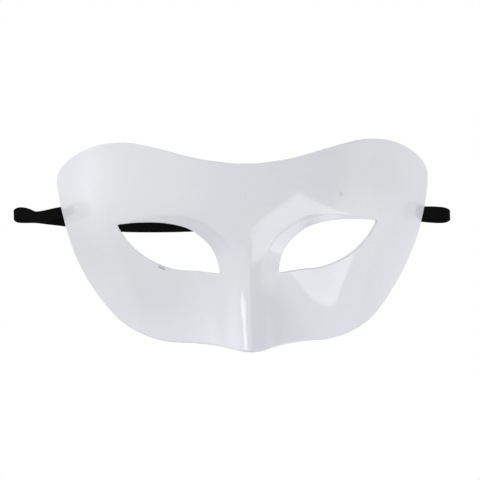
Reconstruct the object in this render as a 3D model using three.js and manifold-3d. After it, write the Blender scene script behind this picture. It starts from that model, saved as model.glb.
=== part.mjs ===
// A plain white half mask with an elastic strap, lying face up on its rim.
// Millimetres. +X to the side, +Y to the forehead, +Z out of the face, floor at Z = 0.
import * as THREE from 'three';
import Module from 'manifold-3d';
import { ParametricGeometry } from 'three/addons/geometries/ParametricGeometry.js';
import { mergeVertices } from 'three/addons/utils/BufferGeometryUtils.js';

const wasm = await Module();
wasm.setup();

// The shell: its wall, and how deep the resting flats on its rim are.
const wallThickness = 1.4;
const restFlat = 0.5;

// Half of the outline, from the dip over the nose round the temple to the nose's lower end.
const outlinePoints = [
  [0, 36.5],
  [6, 36.6],
  [22, 39],
  [40, 44],
  [55, 47.5],
  [70, 47],
  [83, 42],
  [90, 35],
  [89.8, 25],
  [84.4, 2],
  [79.2, -11.5],
  [72.4, -22.6],
  [61.5, -35],
  [50, -41.8],
  [38, -45],
  [26, -45.4],
  [15, -46.3],
  [6, -48.1],
  [0, -48.4],
];

// The eye opening, from its inner corner along the upper edge, and back along the lower one.
const upperLidPoints = [
  [13.4, -13.9],
  [15.5, -5.2],
  [19.6, 0.9],
  [27.6, 6.9],
  [38.5, 9.7],
  [50.4, 10.2],
  [61.5, 9.5],
];
const lowerLidPoints = [
  [61.5, 9.5],
  [55.6, 0.9],
  [46.9, -6.4],
  [35.2, -11.4],
  [23.8, -12.6],
  [13.4, -13.9],
];

// The crown is the face's height along its middle line, highest at the brow.
const browHeight = 54;
const browY = 5;
const crownBow = 0.0026;

// The sides fall from the crown to the rim, which narrows towards the cheeks.
const sideX = 90.3;
const wideY = 40;
const sideTaper = 0.0042;
const sideBow = 1.37;

// The rim touches the floor at two places on each side, and arches over the strap between them.
const archHeight = 5.3;
const archY = 12.5;
const archHalf = 26;
const rimRise = 0.016;

// The nose grows from its root down to the lower edge, and widens on the way.
const noseRootY = 4.6;
const noseLength = 59;
const noseHeight = 24;
const noseSwell = 0.8;
const noseCrestRadius = { root: 5, end: 5.8 };
const noseHalfWidth = { root: 10, end: 21 };
const noseBlend = 0.58;

// Soft ovals raised on each side of the face, or sunk where the height is below zero.
const mounds = {
  socket: { centre: [32.8, -5.3], tilt: 33.5, length: 31.7, width: 15, height: -4 },
  browRidge: { centre: [41.5, 10.6], tilt: -4, length: 18.5, width: 14, height: 1.6 },
  cheekHollow: { centre: [34, -30.8], tilt: -10, length: 24.5, width: 18, height: -4 },
};

// From a soft crease the upper lid slopes in to the eye, over a band that narrows to the outer
// corner. The slope starts and ends over a share of the lid's length.
const lidSlope = 0.17;
const lidWidth = { inner: 7.8, outer: 0.2 };
const lidCrease = 0.6;
const lidEnds = 0.15;

// Stretches of the surface round one eye, each between a part of the eye's edge and a part of the
// rim. An eye value runs 0 to 1 along the upper lid and 1 to 2 back along the lower one. A rim
// value runs 0 to 1 along the outline and 1 to 2 up the middle line.
const stretches = [
  { eye: [0, 0.35], rim: [1.365, 2], steps: 13 },
  { eye: [0.35, 1], rim: [0, 0.52], steps: 28 },
  { eye: [1, 1.9], rim: [0.52, 1], steps: 27 },
  { eye: [1.9, 2], rim: [1, 1.365], steps: 7 },
];
const stepsAcross = 9;
const crowding = 1.35;
const weldDistance = 1e-4;
const normalStep = 0.05;

// The strap: a flat elastic, bonded inside both temples, folded back beyond each side.
const strapWidth = 6;
const strapThickness = 0.9;
const strapCorner = 0.2;
const strapSteps = 80;
const strapRoute = [
  [-74.1, 19.0, 21.4],
  [-77.6, 18.5, 16.7],
  [-81.2, 17.9, 11.3],
  [-84.2, 17.5, 6.6],
  [-86, 17.4, 3.4],
  [-88.1, 17.0, 2.5],
  [-92.5, 16.2, 2.4],
  [-97.4, 15.2, 2.2],
  [-100.9, 15.0, 2.0],
  [-103.4, 16.1, 2.2],
  [-106.1, 16.9, 2.6],
  [-109.2, 17.0, 3.2],
  [-111, 16.1, 2.4],
  [-109.8, 15.1, 1.0],
  [-106.6, 14.9, 0.6],
  [-101.2, 14.8, 0.6],
  [-94.9, 14.0, 0.6],
  [-88.2, 13.1, 0.6],
  [-74.7, 11.2, 0.6],
  [-61.2, 9.9, 0.6],
  [-45.7, 9.3, 0.6],
  [-26.3, 9.3, 0.6],
  [-1.9, 10.4, 0.6],
  [17.6, 12.7, 0.6],
  [37.2, 14.9, 0.6],
  [64.5, 15.0, 0.6],
  [86, 12.2, 0.6],
  [94, 11.4, 0.6],
  [98.4, 11.4, 0.9],
  [100.4, 12.3, 2.4],
  [98.4, 13.3, 3.8],
  [95, 13.8, 3.2],
  [91.5, 14.0, 2.7],
  [87.2, 14.1, 2.6],
  [84.5, 14.1, 3.5],
  [82.8, 14.2, 6.8],
  [80.2, 14.6, 11.5],
  [76.7, 15.4, 16.9],
  [73.3, 15.7, 21.4],
];

function curveThrough(points) {
  return new THREE.SplineCurve(points.map(([x, y]) => new THREE.Vector2(x, y)));
}

const outline = curveThrough(outlinePoints);
const upperLid = curveThrough(upperLidPoints);
const lowerLid = curveThrough(lowerLidPoints);

function rimHeight(y) {
  const beyond = Math.abs(y - archY) - archHalf;
  if (beyond > 0) {
    return rimRise * beyond ** 2;
  }
  return archHeight * (1 - ((y - archY) / archHalf) ** 2) ** 2;
}

function noseAt(x, y) {
  const along = Math.max(noseRootY - y, 0) / noseLength;
  const crestRadius = THREE.MathUtils.lerp(noseCrestRadius.root, noseCrestRadius.end, along);
  const halfWidth = THREE.MathUtils.lerp(noseHalfWidth.root, noseHalfWidth.end, along);
  const slope = 1 - (Math.hypot(x, crestRadius) - crestRadius) / halfWidth;
  const section = (slope + Math.hypot(slope, noseBlend)) / 2;
  return noseHeight * section * (1 + noseSwell) * along ** 2 / (1 + noseSwell * along);
}

function moundsAt(x, y) {
  let total = 0;
  for (const { centre, tilt, length, width, height } of Object.values(mounds)) {
    const offset = new THREE.Vector2(Math.abs(x) - centre[0], y - centre[1]);
    offset.rotateAround(new THREE.Vector2(), THREE.MathUtils.degToRad(-tilt));
    total += height * Math.exp(-((offset.x / length) ** 2) - (offset.y / width) ** 2);
  }
  return total;
}

function faceHeight(x, y) {
  const crown = browHeight - crownBow * (y - browY) ** 2;
  const sideWidth = sideX - sideTaper * Math.max(wideY - y, 0) ** 2;
  const across = (x / sideWidth) ** 2;
  const fall = across * (1 + sideBow * across) / (1 + sideBow);
  const rim = rimHeight(y);
  return rim + (crown + noseAt(x, y) + moundsAt(x, y) - rim) * (1 - fall);
}

function lidDrop(eye, fromEye) {
  const upper = eye <= 1 ? eye : 0;
  const inside = THREE.MathUtils.lerp(lidWidth.inner, lidWidth.outer, upper) - fromEye;
  const ends = THREE.MathUtils.smoothstep(Math.min(upper, 1 - upper), 0, lidEnds);
  return lidSlope * ends * (inside + Math.hypot(inside, lidCrease)) / 2;
}

function faceNormal(x, y) {
  const rise = (dx, dy) => faceHeight(x + dx, y + dy) - faceHeight(x - dx, y - dy);
  const slopeX = rise(normalStep, 0) / (2 * normalStep);
  const slopeY = rise(0, normalStep) / (2 * normalStep);
  return new THREE.Vector3(x === 0 ? 0 : -slopeX, -slopeY, 1).normalize();
}

function eyePoint(value) {
  return value <= 1 ? upperLid.getPointAt(value) : lowerLid.getPointAt(value - 1);
}

function rimPoint(value) {
  if (value <= 1) {
    return outline.getPointAt(value);
  }
  const nose = outline.getPoint(1);
  const dip = outline.getPoint(0);
  return new THREE.Vector2(0, THREE.MathUtils.lerp(nose.y, dip.y, value - 1));
}

// Pairs of points, one on the eye's edge and one on the outline or the middle line.
const spokes = stretches.flatMap(({ eye, rim, steps }) =>
  Array.from({ length: steps }, (_, i) => {
    const value = THREE.MathUtils.lerp(eye[0], eye[1], i / steps);
    const outer = rimPoint(THREE.MathUtils.lerp(rim[0], rim[1], i / steps));
    return { eye: value, inner: eyePoint(value), outer };
  }));

// One closed half: out over the front, round the rim, back along the inside, round the eye.
function halfShellPoint(u, v, target) {
  const spoke = spokes[Math.round(u * spokes.length) % spokes.length];
  const rings = 2 * stepsAcross + 2;
  const ring = Math.round(v * rings) % rings;
  const isFront = ring <= stepsAcross;
  const across = (isFront ? ring : rings - 1 - ring) / stepsAcross;
  const place = spoke.inner.clone().lerp(spoke.outer, across ** crowding);
  const drop = lidDrop(spoke.eye, place.distanceTo(spoke.inner));
  target.set(place.x, place.y, faceHeight(place.x, place.y) - drop);
  if (!isFront) {
    target.addScaledVector(faceNormal(place.x, place.y), -wallThickness);
  }
}

function toSolid(geometry) {
  const bare = geometry.clone();
  bare.deleteAttribute('normal');
  bare.deleteAttribute('uv');
  const merged = mergeVertices(bare, weldDistance);
  return new wasm.Manifold(new wasm.Mesh({
    numProp: 3,
    vertProperties: new Float32Array(merged.attributes.position.array),
    triVerts: new Uint32Array(merged.index.array),
  }));
}

function toGeometry(solid) {
  const mesh = solid.getMesh();
  const geometry = new THREE.BufferGeometry();
  geometry.setAttribute('position', new THREE.BufferAttribute(mesh.vertProperties, 3));
  geometry.setIndex(new THREE.BufferAttribute(mesh.triVerts, 1));
  return geometry;
}

function mirrored(geometry) {
  const copy = geometry.clone().scale(-1, 1, 1);
  copy.index.array.reverse();
  return copy;
}

function maskShell() {
  const half = new ParametricGeometry(halfShellPoint, spokes.length, 2 * stepsAcross + 2);
  half.computeBoundingBox();
  const { min, max } = half.boundingBox;
  half.translate(0, -(min.y + max.y) / 2, -min.z - restFlat);
  const below = new THREE.BoxGeometry(4 * sideX, 4 * sideX, max.z);
  below.translate(0, 0, -max.z / 2);
  const whole = toSolid(half).add(toSolid(mirrored(half)));
  return toGeometry(whole.subtract(toSolid(below)));
}

// The flat strap keeps its width level with the floor, however it folds.
class StrapRoute extends THREE.CatmullRomCurve3 {
  computeFrenetFrames(steps) {
    const tangents = Array.from({ length: steps + 1 }, (_, i) => this.getTangentAt(i / steps));
    const normals = tangents.map((along) =>
      new THREE.Vector3(0, 1, 0).projectOnPlane(along).normalize());
    const binormals = tangents.map((along, i) => along.clone().cross(normals[i]));
    return { tangents, normals, binormals };
  }
}

function strapSection() {
  const halfWidth = strapWidth / 2;
  const halfThickness = strapThickness / 2;
  const corners = [
    [halfWidth, strapCorner - halfThickness],
    [halfWidth, halfThickness - strapCorner],
    [halfWidth - strapCorner, halfThickness],
    [strapCorner - halfWidth, halfThickness],
    [-halfWidth, halfThickness - strapCorner],
    [-halfWidth, strapCorner - halfThickness],
    [strapCorner - halfWidth, -halfThickness],
    [halfWidth - strapCorner, -halfThickness],
  ];
  return new THREE.Shape(corners.map(([x, y]) => new THREE.Vector2(x, y)));
}

function elasticStrap() {
  const route = new StrapRoute(strapRoute.map((point) => new THREE.Vector3(...point)));
  return new THREE.ExtrudeGeometry(strapSection(), { steps: strapSteps, extrudePath: route });
}

const whitePlastic = new THREE.MeshStandardMaterial({ color: 0xe9e9ee, roughness: 0.18, metalness: 0 });
const blackElastic = new THREE.MeshStandardMaterial({ color: 0x0c0c0d, roughness: 0.9, metalness: 0 });

function named(name, geometry, material) {
  const mesh = new THREE.Mesh(geometry, material);
  mesh.name = name;
  return mesh;
}

const mask = new THREE.Group();
mask.add(named('mask_shell', maskShell(), whitePlastic));
mask.add(named('elastic_strap', elasticStrap(), blackElastic));

export default mask;
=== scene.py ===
import math

import bmesh
import bpy
from mathutils import Matrix, Vector
from mathutils.geometry import interpolate_bezier


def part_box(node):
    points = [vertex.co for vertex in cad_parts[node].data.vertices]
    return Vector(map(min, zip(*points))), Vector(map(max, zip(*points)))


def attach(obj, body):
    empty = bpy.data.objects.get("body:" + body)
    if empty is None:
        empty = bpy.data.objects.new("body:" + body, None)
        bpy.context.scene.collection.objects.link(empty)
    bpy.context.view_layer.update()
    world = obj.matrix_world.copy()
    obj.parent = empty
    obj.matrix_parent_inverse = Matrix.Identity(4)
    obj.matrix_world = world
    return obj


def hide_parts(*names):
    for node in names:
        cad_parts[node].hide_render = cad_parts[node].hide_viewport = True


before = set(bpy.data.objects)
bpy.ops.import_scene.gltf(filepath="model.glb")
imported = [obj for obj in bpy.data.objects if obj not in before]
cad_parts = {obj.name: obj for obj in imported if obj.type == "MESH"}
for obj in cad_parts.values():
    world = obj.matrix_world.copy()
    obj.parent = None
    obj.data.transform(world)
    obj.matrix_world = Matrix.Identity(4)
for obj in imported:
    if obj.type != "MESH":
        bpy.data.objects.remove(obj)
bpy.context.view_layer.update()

# A plain white half mask and its elastic, lying face up. Metres, floor at Z = 0.


# Camera, over the lying mask and turned a little

camera = {
    "aim": (-0.00297, 0.00206, 0.025),
    "distance": 0.8,
    "yaw": -2.19,
    "roll": -1.03,
    "lens": 127.03,
    "sensor": 36,
    "farLimit": 20,
}


def placeCamera():
    data = bpy.data.cameras.new("camera")
    data.sensor_width = camera["sensor"]
    data.lens = camera["lens"]
    data.clip_end = camera["farLimit"]
    yaw = Matrix.Rotation(math.radians(camera["yaw"]), 4, "Y")
    roll = Matrix.Rotation(math.radians(camera["roll"]), 4, "Z")
    rig = bpy.data.objects.new("camera", data)
    rig.matrix_world = (Matrix.Translation(camera["aim"]) @ yaw @ roll
                        @ Matrix.Translation((0, 0, camera["distance"])))
    bpy.context.scene.collection.objects.link(rig)
    bpy.context.scene.camera = rig


placeCamera()
print("camera placed")


# Curves through points

def mix(a, b, amount):
    return a + (b - a) * amount


def rise(value, start, end):
    # eases from 0 at start to 1 at end
    share = min(max((value - start) / (end - start), 0), 1)
    return share * share * (3 - 2 * share)


def curveThrough(points, evenness, straightEnds, perSpan=24):
    # evenness 0 gives every span the same pace, 0.5 paces it by its length
    points = [Vector(point).to_3d() for point in points]
    lead = 2 * points[0] - points[1] if straightEnds else points[0]
    tail = 2 * points[-1] - points[-2] if straightEnds else points[-1]
    points = [lead, *points, tail]
    line = []
    for before, start, end, after in zip(points, points[1:], points[2:], points[3:]):
        a, b, c = [(q - p).length ** evenness for p, q in ((before, start), (start, end), (end, after))]
        leave = (start - before) / a - (end - before) / (a + b) + (end - start) / b
        arrive = (end - start) / b - (after - start) / (b + c) + (after - end) / c
        handles = start + leave * b / 3, end - arrive * b / 3
        line += interpolate_bezier(start, *handles, end, perSpan + 1)[:-1]
    return line + [points[-2]]


def lineLength(line):
    return sum((b - a).length for a, b in zip(line, line[1:]))


def alongLine(line, fraction):
    # the point at this share of a line's length
    left = fraction * lineLength(line)
    for start, end in zip(line, line[1:]):
        step = (end - start).length
        if left <= step:
            return start.lerp(end, left / step)
        left -= step
    return line[-1].copy()


def alongPair(first, second, place):
    # 0 to 1 runs along the first line, 1 to 2 along the second
    return alongLine(first, place) if place <= 1 else alongLine(second, place - 1)


# Mesh helpers

def closedLoop(bm, places):
    verts = [bm.verts.new(place) for place in places]
    return verts, [bm.edges.new(pair) for pair in zip(verts, verts[1:] + verts[:1])]


def growLoop(bm, verts, edges, places):
    # one more loop, extruded from the last one and moved to its places
    made = bmesh.ops.extrude_edge_only(bm, edges=edges)["geom"]
    fresh = {item for item in made if isinstance(item, bmesh.types.BMVert)}
    edges = [item for item in made if isinstance(item, bmesh.types.BMEdge) and fresh.issuperset(item.verts)]
    verts = [next(e.other_vert(v) for e in v.link_edges if e.other_vert(v) in fresh) for v in verts]
    for vert, place in zip(verts, places):
        vert.co = place
    return verts, edges


def finishPiece(name, bm, paint, node):
    for polygon in bm.faces:
        polygon.smooth = True
    mesh = bpy.data.meshes.new(name)
    bm.to_mesh(mesh)
    bm.free()
    mesh.materials.append(paint.owner)
    piece = bpy.data.objects.new(name, mesh)
    bpy.context.scene.collection.objects.link(piece)
    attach(piece, "root")
    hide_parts(node)
    print(name, len(mesh.polygons), "faces")
    return piece


# Shader helpers

class Wire:
    # a node's socket, so that sums on it are written as sums
    def __init__(self, paint, socket):
        self.paint = paint
        self.socket = socket

    def reckon(self, operation, *values):
        return self.paint.node("ShaderNodeMath", {"operation": operation}, dict(enumerate(values)))

    def __add__(self, other):
        return self.reckon("ADD", self, other)

    def __radd__(self, other):
        return self.reckon("ADD", other, self)

    def __sub__(self, other):
        return self.reckon("SUBTRACT", self, other)

    def __rsub__(self, other):
        return self.reckon("SUBTRACT", other, self)

    def __mul__(self, other):
        return self.reckon("MULTIPLY", self, other)

    def __rmul__(self, other):
        return self.reckon("MULTIPLY", other, self)

    def __pow__(self, other):
        return self.reckon("POWER", self, other)

    def __abs__(self):
        return self.reckon("ABSOLUTE", self)

    def wave(self):
        return self.reckon("SINE", self)


class Paint:
    # one material or world: its shader with plain settings, and the nodes that feed it
    def __init__(self, owner, **plain):
        owner.use_nodes = True
        self.owner = owner
        self.tree = owner.node_tree
        self.shader = next(node for node in self.tree.nodes if not node.name.endswith("Output"))
        for socket, value in plain.items():
            self.shader.inputs[socket.replace("_", " ")].default_value = value

    def node(self, kind, settings, values, output=0):
        made = self.tree.nodes.new(kind)
        for setting, value in settings.items():
            setattr(made, setting, value)
        for socket, value in values.items():
            if isinstance(value, Wire):
                self.tree.links.new(value.socket, made.inputs[socket])
            else:
                made.inputs[socket].default_value = value
        return Wire(self, made.outputs[output])

    def into(self, socket, wire):
        self.tree.links.new(wire.socket, self.shader.inputs[socket])

    def places(self, kind="Object"):
        return self.node("ShaderNodeTexCoord", {}, {}, kind)

    def carried(self, layer):
        return self.node("ShaderNodeAttribute", {"attribute_name": layer}, {}, "Fac")

    def axis(self, vector, letter):
        return self.node("ShaderNodeSeparateXYZ", {}, {"Vector": vector}, letter)

    def noise(self, vector, size, detail):
        return self.node("ShaderNodeTexNoise", {}, {"Vector": vector, "Scale": 1 / size, "Detail": detail})

    def ease(self, value, start, end):
        # rises smoothly from 0 at start to 1 at end
        values = {"Value": value, "From Min": start, "From Max": end}
        return self.node("ShaderNodeMapRange", {"interpolation_type": "SMOOTHSTEP"}, values)

    def blend(self, amount, first, second):
        # the Mix node's colours are its sockets 6 and 7, and output 2
        first, second = [it if isinstance(it, Wire) else (*it, 1) for it in (first, second)]
        return self.node("ShaderNodeMix", {"data_type": "RGBA"}, {0: amount, 6: first, 7: second}, 2)

    def bump(self, height, distance, under=None):
        values = {"Height": height, "Distance": distance}
        if under:
            values["Normal"] = under
        return self.node("ShaderNodeBump", {}, values)

    def mark(self, places, spot):
        # 1 inside a rounded box lying in the XY plane, fading to 0 over its edge
        x, y = spot["centre"]
        values = {"Vector": places, "Location": (x, y, 0), "Rotation": (0, 0, math.radians(spot["tilt"])),
                  "Scale": (*spot["half"], 1)}
        local = self.node("ShaderNodeMapping", {"vector_type": "TEXTURE"}, values)
        reach = abs(self.axis(local, "X")) ** 3 + abs(self.axis(local, "Y")) ** 3
        return self.ease(reach, 1 + spot["softness"], 1 - spot["softness"])


# Elastic strap: flat, bonded inside both temples, folded back beyond each side

strap = {
    "width": 0.0056,
    "thickness": 0.00084,
    "ribs": 8,
    "pointsPerRib": 4,
    "grooveDepth": 0.00011,
    "ribFullness": 0.6,
    "edgeThickness": 0.0002,
    "step": 0.0008,  # from one loop of its mesh to the next
    "foldReach": 3,  # how many loops on either side feel a fold
    "foldPinch": 0.2,  # the share of its width that a full fold takes
    "route": [
        (-0.0741, 0.0190, 0.0214),
        (-0.0776, 0.0185, 0.0167),
        (-0.0812, 0.0179, 0.0113),
        (-0.0842, 0.0175, 0.0066),
        (-0.0860, 0.0174, 0.0034),
        (-0.0881, 0.0170, 0.0025),
        (-0.0925, 0.0162, 0.0024),
        (-0.0974, 0.0152, 0.0022),
        (-0.1009, 0.0150, 0.0020),
        (-0.1034, 0.0161, 0.0022),
        (-0.1061, 0.0169, 0.0026),
        (-0.1092, 0.0170, 0.0032),
        (-0.1110, 0.0161, 0.0024),
        (-0.1098, 0.0151, 0.0010),
        (-0.1066, 0.0149, 0.0006),
        (-0.1012, 0.0148, 0.0006),
        (-0.0949, 0.0140, 0.0006),
        (-0.0882, 0.0131, 0.0006),
        (-0.0747, 0.0112, 0.0006),
        (-0.0612, 0.0099, 0.0006),
        (-0.0457, 0.0093, 0.0006),
        (-0.0263, 0.0093, 0.0006),
        (-0.0019, 0.0104, 0.0006),
        (0.0176, 0.0127, 0.0006),
        (0.0372, 0.0149, 0.0006),
        (0.0645, 0.0150, 0.0006),
        (0.0860, 0.0122, 0.0006),
        (0.0940, 0.0114, 0.0006),
        (0.0984, 0.0114, 0.0009),
        (0.1004, 0.0123, 0.0024),
        (0.0984, 0.0133, 0.0038),
        (0.0950, 0.0138, 0.0032),
        (0.0915, 0.0140, 0.0027),
        (0.0872, 0.0141, 0.0026),
        (0.0845, 0.0141, 0.0035),
        (0.0828, 0.0142, 0.0068),
        (0.0802, 0.0146, 0.0115),
        (0.0767, 0.0154, 0.0169),
        (0.0733, 0.0157, 0.0214),
    ],
}


def strapSection():
    # one side of the woven band, rib by rib, then the other side back
    count = strap["ribs"] * strap["pointsPerRib"]
    side = []
    for i in range(count + 1):
        across = i / count
        rib = abs(math.sin(math.pi * across * strap["ribs"])) ** strap["ribFullness"]
        half = strap["thickness"] / 2 - strap["grooveDepth"] * (1 - rib)
        if i in (0, count):
            half = strap["edgeThickness"] / 2
        side.append((strap["width"] * (across - 0.5), half, across))
    return side + [(x, -z, across) for x, z, across in reversed(side)]


def strapFrame(line, index):
    # the strap keeps its width level, however it folds
    ahead = (line[min(index + 1, len(line) - 1)] - line[max(index - 1, 0)]).normalized()
    level = Vector((0, 1, 0))
    up = ahead.cross(level).normalized()
    return Matrix.Translation(line[index]) @ Matrix((level, up, ahead)).transposed().to_4x4()


def foldAt(line, index):
    # 0 where the strap runs straight, 1 where it turns right back
    reach = strap["foldReach"]
    behind = line[index] - line[max(index - reach, 0)]
    beyond = line[min(index + reach, len(line) - 1)] - line[index]
    return behind.angle(beyond, 0) / math.pi


def makeStrap(line):
    bm = bmesh.new()
    acrossLayer = bm.verts.layers.float.new("across")
    alongLayer = bm.verts.layers.float.new("along")
    section = strapSection()
    verts, edges = None, None
    for i in range(len(line)):
        turn = strapFrame(line, i)
        width = 1 - strap["foldPinch"] * foldAt(line, i)
        places = [turn @ Vector((x * width, z, 0)) for x, z, across in section]
        if verts:
            verts, edges = growLoop(bm, verts, edges, places)
        else:
            verts, edges = closedLoop(bm, places)
        for vert, (x, z, across) in zip(verts, section):
            vert[acrossLayer] = across
            vert[alongLayer] = i / (len(line) - 1)
    bmesh.ops.holes_fill(bm, edges=[edge for edge in bm.edges if edge.is_boundary])
    bmesh.ops.recalc_face_normals(bm, faces=bm.faces)
    return bm


blackElastic = {
    "thread": (0.0018, 0.0018, 0.0020),
    "ribTop": (0.0045, 0.0045, 0.0052),
    "pick": 0.0009,  # from one cross thread to the next
    "slant": 2.0,
    "fibre": 0.0002,
    "weaveShare": 0.6,  # the rest of the relief is loose fibre
    "relief": 0.00006,
}


def elasticPaint(length):
    paint = Paint(bpy.data.materials.new("black woven elastic"), Roughness=0.85, Sheen_Weight=0.02,
                  Sheen_Roughness=0.4, Specular_IOR_Level=0.12)
    across = paint.carried("across") * strap["ribs"]
    rib = abs((across * math.pi).wave())
    pick = paint.carried("along") * (2 * math.pi * length / blackElastic["pick"])
    weave = (pick + rib * blackElastic["slant"]).wave() * 0.5 + 0.5
    fibres = paint.noise(paint.places(), blackElastic["fibre"], detail=3)
    height = weave * blackElastic["weaveShare"] + fibres * (1 - blackElastic["weaveShare"])
    paint.into("Base Color", paint.blend(rib * height, blackElastic["thread"], blackElastic["ribTop"]))
    paint.into("Normal", paint.bump(height, blackElastic["relief"]))
    return paint


def layStrap():
    smooth = curveThrough(strap["route"], evenness=0.5, straightEnds=True)
    length = lineLength(smooth)
    steps = round(length / strap["step"])
    line = [alongLine(smooth, i / steps) for i in range(steps + 1)]
    piece = finishPiece("elastic_strap_woven", makeStrap(line), elasticPaint(length), "elastic_strap")
    print("strap laid,", round(length * 1000), "mm long")


layStrap()


# Shell: the moulded face, trimmed to its outline and pierced at the eyes

shell = {
    "wall": 0.0014,
    "rimRound": 0.0005,
    "rimSteps": 5,
    "sharpAngle": 50,  # edges that turn more than this stay sharp
    "outline": [
        (0, 0.0365), (0.006, 0.0366), (0.022, 0.039), (0.040, 0.044), (0.055, 0.0475), (0.070, 0.047),
        (0.083, 0.042), (0.090, 0.035), (0.0898, 0.025), (0.0844, 0.002), (0.0792, -0.0115),
        (0.0724, -0.0226), (0.0615, -0.035), (0.050, -0.0418), (0.038, -0.045), (0.026, -0.0454),
        (0.015, -0.0463), (0.006, -0.0481), (0, -0.0484),
    ],
    "upperLid": [
        (0.0134, -0.0139), (0.0155, -0.0052), (0.0196, 0.0009), (0.0276, 0.0069), (0.0385, 0.0097),
        (0.0504, 0.0102), (0.0615, 0.0095),
    ],
    "lowerLid": [
        (0.0615, 0.0095), (0.0556, 0.0009), (0.0469, -0.0064), (0.0352, -0.0114), (0.0238, -0.0126),
        (0.0134, -0.0139),
    ],
    # spokes from the eye's edge (0 to 1 upper lid, 1 to 2 lower lid) to their far ends (0 to 1 outline,
    # 1 to 2 middle line), and how many
    "stretches": [
        ((0, 0.35), (1.365, 2), 52),
        ((0.35, 1), (0, 0.52), 112),
        ((1, 1.9), (0.52, 1), 108),
        ((1.9, 2), (1, 1.365), 28),
    ],
    # shares of a lid over which the eye's edge is evened
    "cornerRound": (-0.024, -0.012, 0, 0.012, 0.024),
    "loops": 60,
    "crowding": 1.6,  # above 1, the loops crowd towards the eye
    "weld": 0.00001,
}

face = {
    "browHeight": 0.054,
    "browY": 0.005,
    "crownBow": 2.6,  # how the middle line falls away from browY, with the square of the distance
    "sideX": 0.0903,
    "wideY": 0.040,
    "sideTaper": 4.2,  # how the half width shrinks below wideY
    "sideBow": 1.37,  # above 0, the sides fall faster near the rim
    "archHeight": 0.0053,  # how far the rim lifts between the places that it rests on
    "archY": 0.0125,
    "archHalf": 0.026,
    "rimRise": 16,  # how the rim rises beyond those places
    "noseRootY": 0.0046,
    "noseLength": 0.059,
    "noseHeight": 0.024,
    "noseSwell": 0.8,
    "noseCrestRadius": (0.005, 0.0058),  # at the root and at the end
    "noseHalfWidth": (0.010, 0.021),
    "noseBlend": 0.58,
    # a faint hollow along each side of the crest, which comes in over these shares of the nose
    "groove": {"place": 0.0105, "width": 0.004, "depth": 0.0009, "comesIn": (1 / 6, 1 / 2)},
    # soft ovals raised on each side, or sunk where the height is below zero
    "mounds": {
        "socket": {"centre": (0.0328, -0.0053), "tilt": 33.5, "size": (0.0317, 0.015), "height": -0.004},
        "browRidge": {"centre": (0.0415, 0.0106), "tilt": -4, "size": (0.0185, 0.014), "height": 0.0016},
        "cheekHollow": {"centre": (0.034, -0.0308), "tilt": -10, "size": (0.0245, 0.018), "height": -0.004},
    },
    # from a soft crease the upper lid steps down and slopes in to the eye, over a band that narrows to
    # the outer corner, where the step has gone
    "lidSlope": 0.17,
    "lidWidth": (0.0082, 0.0002),
    "lidCrease": 0.0006,
    "lidStep": {"depth": 0.0008, "width": 0.0008},
    "lidEnds": 0.15,
}


def rimHeight(y):
    beyond = abs(y - face["archY"]) - face["archHalf"]
    if beyond > 0:
        return face["rimRise"] * beyond ** 2
    return face["archHeight"] * (1 - ((y - face["archY"]) / face["archHalf"]) ** 2) ** 2


def noseAt(x, y):
    along = max(face["noseRootY"] - y, 0) / face["noseLength"]
    crestRadius = mix(*face["noseCrestRadius"], along)
    slope = 1 - (math.hypot(x, crestRadius) - crestRadius) / mix(*face["noseHalfWidth"], along)
    section = (slope + math.hypot(slope, face["noseBlend"])) / 2
    swell = face["noseSwell"]
    groove = face["groove"]
    hollow = groove["depth"] * math.exp(-((abs(x) - groove["place"]) / groove["width"]) ** 2)
    nose = face["noseHeight"] * section * (1 + swell) * along ** 2 / (1 + swell * along)
    return nose - hollow * rise(along, *groove["comesIn"])


def moundsAt(x, y):
    total = 0
    for mound in face["mounds"].values():
        offset = Vector((abs(x) - mound["centre"][0], y - mound["centre"][1]))
        offset.rotate(Matrix.Rotation(math.radians(-mound["tilt"]), 2))
        reach = sum((way / size) ** 2 for way, size in zip(offset, mound["size"]))
        total += mound["height"] * math.exp(-reach)
    return total


def faceHeight(x, y):
    crown = face["browHeight"] - face["crownBow"] * (y - face["browY"]) ** 2
    sideWidth = face["sideX"] - face["sideTaper"] * max(face["wideY"] - y, 0) ** 2
    across = (x / sideWidth) ** 2
    fall = across * (1 + face["sideBow"] * across) / (1 + face["sideBow"])
    rim = rimHeight(y)
    return rim + (crown + noseAt(x, y) + moundsAt(x, y) - rim) * (1 - fall)


def lidDrop(eye, fromEye):
    upper = eye if eye <= 1 else 0
    inside = mix(*face["lidWidth"], upper) - fromEye
    ends = rise(min(upper, 1 - upper), 0, face["lidEnds"])
    slope = face["lidSlope"] * (inside + math.hypot(inside, face["lidCrease"]))
    step = face["lidStep"]
    stepDown = step["depth"] * (1 - upper) * (1 + inside / math.hypot(inside, step["width"]))
    return ends * (slope + stepDown) / 2


def shellSpokes():
    # each spoke's eye value, its point on the eye's edge, its far point, and whether that is on the rim
    keys = "outline", "upperLid", "lowerLid"
    outline, upper, lower = [curveThrough(shell[key], evenness=0, straightEnds=False) for key in keys]
    middle = [outline[-1], outline[0]]
    spread = shell["cornerRound"]
    spokes = []
    for (eyeFrom, eyeTo), (rimFrom, rimTo), steps in shell["stretches"]:
        for i in range(steps):
            eye = mix(eyeFrom, eyeTo, i / steps)
            rim = mix(rimFrom, rimTo, i / steps)
            near = [alongPair(upper, lower, (eye + offset) % 2) for offset in spread]
            inner = sum(near, Vector()) / len(near)
            spokes.append((eye, inner, alongPair(outline, middle, rim), rim <= 1))
    return spokes


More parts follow.
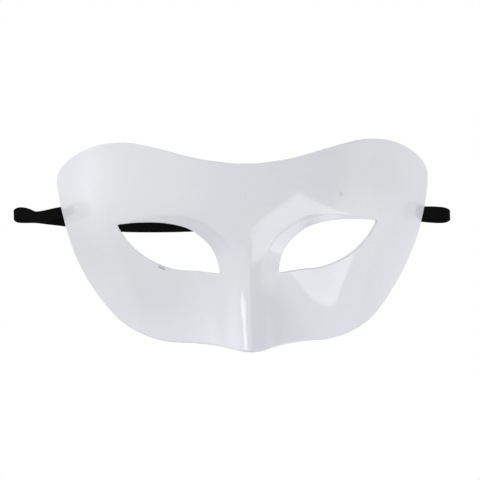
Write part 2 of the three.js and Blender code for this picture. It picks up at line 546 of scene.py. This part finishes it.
def loopPlaces(length):
    # distances from the eye's edge to the far end, close together where the two rims turn over
    turns = [math.pi / 2 * i / shell["rimSteps"] for i in range(shell["rimSteps"] + 1)]
    rim = [shell["rimRound"] * (1 - math.cos(turn)) for turn in turns]
    steps = [(i / shell["loops"]) ** shell["crowding"] for i in range(1, shell["loops"])]
    span = length - 2 * rim[-1]
    return rim + [rim[-1] + span * step for step in steps] + [length - place for place in reversed(rim)]


def rimTurn(distance):
    # how far the rounded front lies below its own surface, this far from the trimmed edge
    inside = max(shell["rimRound"] - distance, 0)
    return shell["rimRound"] - math.sqrt(shell["rimRound"] ** 2 - inside ** 2)


def spokePlaces(eye, inner, outer, meetsRim):
    # the places up one spoke, each with its drop at the rims
    length = (outer - inner).length
    dip, tip = shell["outline"][0][1], shell["outline"][-1][1]
    places = []
    for distance in loopPlaces(length):
        place = inner.lerp(outer, distance / length)
        place.z = faceHeight(place.x, place.y) - lidDrop(eye, distance)
        farEdges = (length - distance,) if meetsRim else (dip - place.y, place.y - tip)
        places.append((place, rimTurn(min(distance, *farEdges))))
    return places


def makeShell():
    bm = bmesh.new()
    insideLayer = bm.verts.layers.float.new("inside")
    turnLayer = bm.verts.layers.float.new("turn")
    verts, edges = None, None
    for loop in zip(*(spokePlaces(*spoke) for spoke in shellSpokes())):
        places = [place for place, turn in loop]
        if verts:
            verts, edges = growLoop(bm, verts, edges, places)
        else:
            verts, edges = closedLoop(bm, places)
        for vert, (place, turn) in zip(verts, loop):
            vert[turnLayer] = turn
    everything = bm.verts[:] + bm.edges[:] + bm.faces[:]
    bmesh.ops.mirror(bm, geom=everything, axis="X", merge_dist=shell["weld"])
    bmesh.ops.remove_doubles(bm, verts=bm.verts, dist=shell["weld"])
    bmesh.ops.recalc_face_normals(bm, faces=bm.faces)
    if sum(polygon.normal.z for polygon in bm.faces) < 0:
        bmesh.ops.reverse_faces(bm, faces=bm.faces)
    bm.normal_update()
    front = {vert: vert.normal * vert[turnLayer] for vert in bm.verts}
    bmesh.ops.solidify(bm, geom=bm.faces[:], thickness=shell["wall"])
    for vert in bm.verts:
        vert[insideLayer] = 0.0 if vert in front else 1.0
    for vert, turn in front.items():
        vert.co -= turn
    middleY = sum(pick(vert.co.y for vert in bm.verts) for pick in (min, max)) / 2
    top = max(vert.co.z for vert in bm.verts)
    bmesh.ops.translate(bm, verts=bm.verts, vec=(0, -middleY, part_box("mask_shell")[1][2] - top))
    for vert in bm.verts:
        vert.co.z = max(vert.co.z, 0)  # the flats that it rests on
    for edge in bm.edges:
        edge.smooth = edge.calc_face_angle(0) < math.radians(shell["sharpAngle"])
    return bm


strapShade = (0.715, 0.73, 0.765)  # painted shade: the strap's ends, seen darker through the translucent wall

whitePlastic = {
    "white": (0.776, 0.794, 0.822),
    "cool": (0.776, 0.786, 0.838),
    "cloudSize": 0.06,
    "cloudEdges": (0.35, 0.65),  # the noise values between which a cool cloud fades in
    "coolBelow": (-0.010, -0.032),  # in Y, where the lower part starts and ends turning cooler
    "coolShare": 0.25,
    "roughness": 0.1,
    "insideRoughness": 0.4,
    "smudgeSize": 0.04,
    "smudgeRange": 0.08,
    "wavePitch": 0.02,
    "waveDepth": 0.00006,
    "grainPitch": 0.0011,
    "grainDepth": 0.000003,
    "marks": {
        # painted shade where the strap's ends lie behind the translucent wall
        "leftStrapShade": {"centre": (-0.0804, 0.0167), "half": (0.0072, 0.0044), "tilt": 14,
                         "softness": 0.8, "colour": strapShade},
        "rightStrapShade": {"centre": (0.0810, 0.0148), "half": (0.0062, 0.0042), "tilt": 3,
                          "softness": 0.8, "colour": strapShade},
        "speck": {"centre": (0.0430, 0.0224), "half": (0.0011, 0.0011), "tilt": 45,
                  "softness": 1, "colour": (0.67, 0.67, 0.69)},
        # a small dark spot painted on the left eye's lower edge
        "leftEyeDarkSpot": {"centre": (-0.0399, -0.0102), "half": (0.0018, 0.0006), "tilt": -25,
                 "softness": 1, "colour": (0.5, 0.49, 0.49)},
    },
}


def plasticPaint():
    paint = Paint(bpy.data.materials.new("white glossy plastic"))
    places = paint.places()
    low = paint.ease(paint.axis(places, "Y"), *whitePlastic["coolBelow"])
    cloud = paint.noise(places, whitePlastic["cloudSize"], detail=1) + low * whitePlastic["coolShare"]
    coolness = paint.ease(cloud, *whitePlastic["cloudEdges"])
    colour = paint.blend(coolness, whitePlastic["white"], whitePlastic["cool"])
    # over the white: the painted shade of the strap's ends, a grey speck and a small dark spot
    for spot in whitePlastic["marks"].values():
        colour = paint.blend(paint.mark(places, spot), colour, spot["colour"])
    paint.into("Base Color", colour)
    smudge = (paint.noise(places, whitePlastic["smudgeSize"], detail=4) - 0.5) * whitePlastic["smudgeRange"]
    inside = paint.carried("inside") * (whitePlastic["insideRoughness"] - whitePlastic["roughness"])
    paint.into("Roughness", smudge + inside + whitePlastic["roughness"])
    wave = paint.bump(paint.noise(places, whitePlastic["wavePitch"], detail=1), whitePlastic["waveDepth"])
    grain = paint.noise(places, whitePlastic["grainPitch"], detail=2)
    paint.into("Normal", paint.bump(grain, whitePlastic["grainDepth"], wave))
    return paint


finishPiece("mask_shell_moulded", makeShell(), plasticPaint(), "mask_shell")


# Floor, world and lights of a plain white studio

studio = {
    "floorSize": 6,
    "floorCells": 8,
    "wallHeight": 3,
    "floorGlow": 1,
    # light that comes up from the floor, and how softly it ends at the horizon
    "fromBelow": 0.91,
    "horizon": 0.2,
    # soft glows: degrees from +X towards +Y, degrees up from the floor, spread, and strength in the middle
    "glows": [
        {"azimuth": 160, "elevation": 32, "spread": 67, "strength": 1.26},
        {"azimuth": 345, "elevation": 24, "spread": 38, "strength": 1.66},
        {"azimuth": 165, "elevation": -1, "spread": 25, "strength": 0.45},
        {"azimuth": 0, "elevation": 90, "spread": 45, "strength": 0.31},
    ],
    # the lights that the gloss mirrors, with how far each is turned and moved in its own plane
    "lights": {
        "window": {"azimuth": -27, "elevation": 48, "distance": 3, "size": (3.21, 1.35), "turn": -20,
                   "shift": (-0.555, -0.03), "radiance": 2.55},
        "lamp": {"azimuth": 141, "elevation": 31, "distance": 3, "size": (0.72, 0.72), "turn": 0,
                 "shift": (0, 0), "radiance": 4.0},
    },
}


def direction(settings):
    around, up = math.radians(settings["azimuth"]), math.radians(settings["elevation"])
    return math.cos(up) * math.cos(around), math.cos(up) * math.sin(around), math.sin(up)


def layFloor():
    # a white floor with walls, seen by the camera alone: its light is the world's light from below
    bm = bmesh.new()
    cells = studio["floorCells"]
    bmesh.ops.create_grid(bm, x_segments=cells, y_segments=cells, size=studio["floorSize"] / 2)
    made = bmesh.ops.extrude_edge_only(bm, edges=[edge for edge in bm.edges if edge.is_boundary])["geom"]
    fresh = [item for item in made if isinstance(item, bmesh.types.BMVert)]
    bmesh.ops.translate(bm, verts=fresh, vec=(0, 0, studio["wallHeight"]))
    mesh = bpy.data.meshes.new("floor")
    bm.to_mesh(mesh)
    bm.free()
    paint = Paint(bpy.data.materials.new("white light table"), Base_Color=(0, 0, 0, 1), Roughness=1,
                  Specular_IOR_Level=0, Emission_Color=(1, 1, 1, 1), Emission_Strength=studio["floorGlow"])
    mesh.materials.append(paint.owner)
    floor = bpy.data.objects.new("floor", mesh)
    bpy.context.scene.collection.objects.link(floor)
    floor.visible_diffuse = floor.visible_glossy = floor.visible_transmission = floor.visible_shadow = False


def hangLight(name, settings):
    data = bpy.data.lights.new(name, "AREA")
    data.shape = "RECTANGLE"
    data.size, data.size_y = settings["size"]
    data.energy = settings["radiance"] * math.pi * data.size * data.size_y
    around = Matrix.Rotation(math.radians(settings["azimuth"]), 4, "Z")
    up = Matrix.Rotation(math.radians(90 - settings["elevation"]), 4, "Y")
    turn = Matrix.Rotation(math.radians(settings["turn"]), 4, "Z")
    light = bpy.data.objects.new(name, data)
    shift = Matrix.Translation((*settings["shift"], 0))
    light.matrix_world = around @ up @ Matrix.Translation((0, 0, settings["distance"])) @ turn @ shift
    bpy.context.scene.collection.objects.link(light)


def lightStudio():
    sky = Paint(bpy.data.worlds.new("studio"), Color=(1, 1, 1, 1))
    way = sky.places("Generated")
    edge = studio["horizon"]
    glow = sky.ease(sky.axis(way, "Z"), edge, -edge) * studio["fromBelow"]
    for settings in studio["glows"]:
        facing = sky.node("ShaderNodeVectorMath", {"operation": "DOT_PRODUCT"},
                          {0: way, 1: direction(settings)}, "Value")
        spread = math.cos(math.radians(settings["spread"]))
        glow = glow + sky.ease(facing, spread, 1) * settings["strength"]
    sky.into("Strength", glow)
    bpy.context.scene.world = sky.owner
    for name, settings in studio["lights"].items():
        hangLight(name, settings)
    bpy.context.scene.view_settings.view_transform = "Standard"


layFloor()
lightStudio()
print("studio lit")
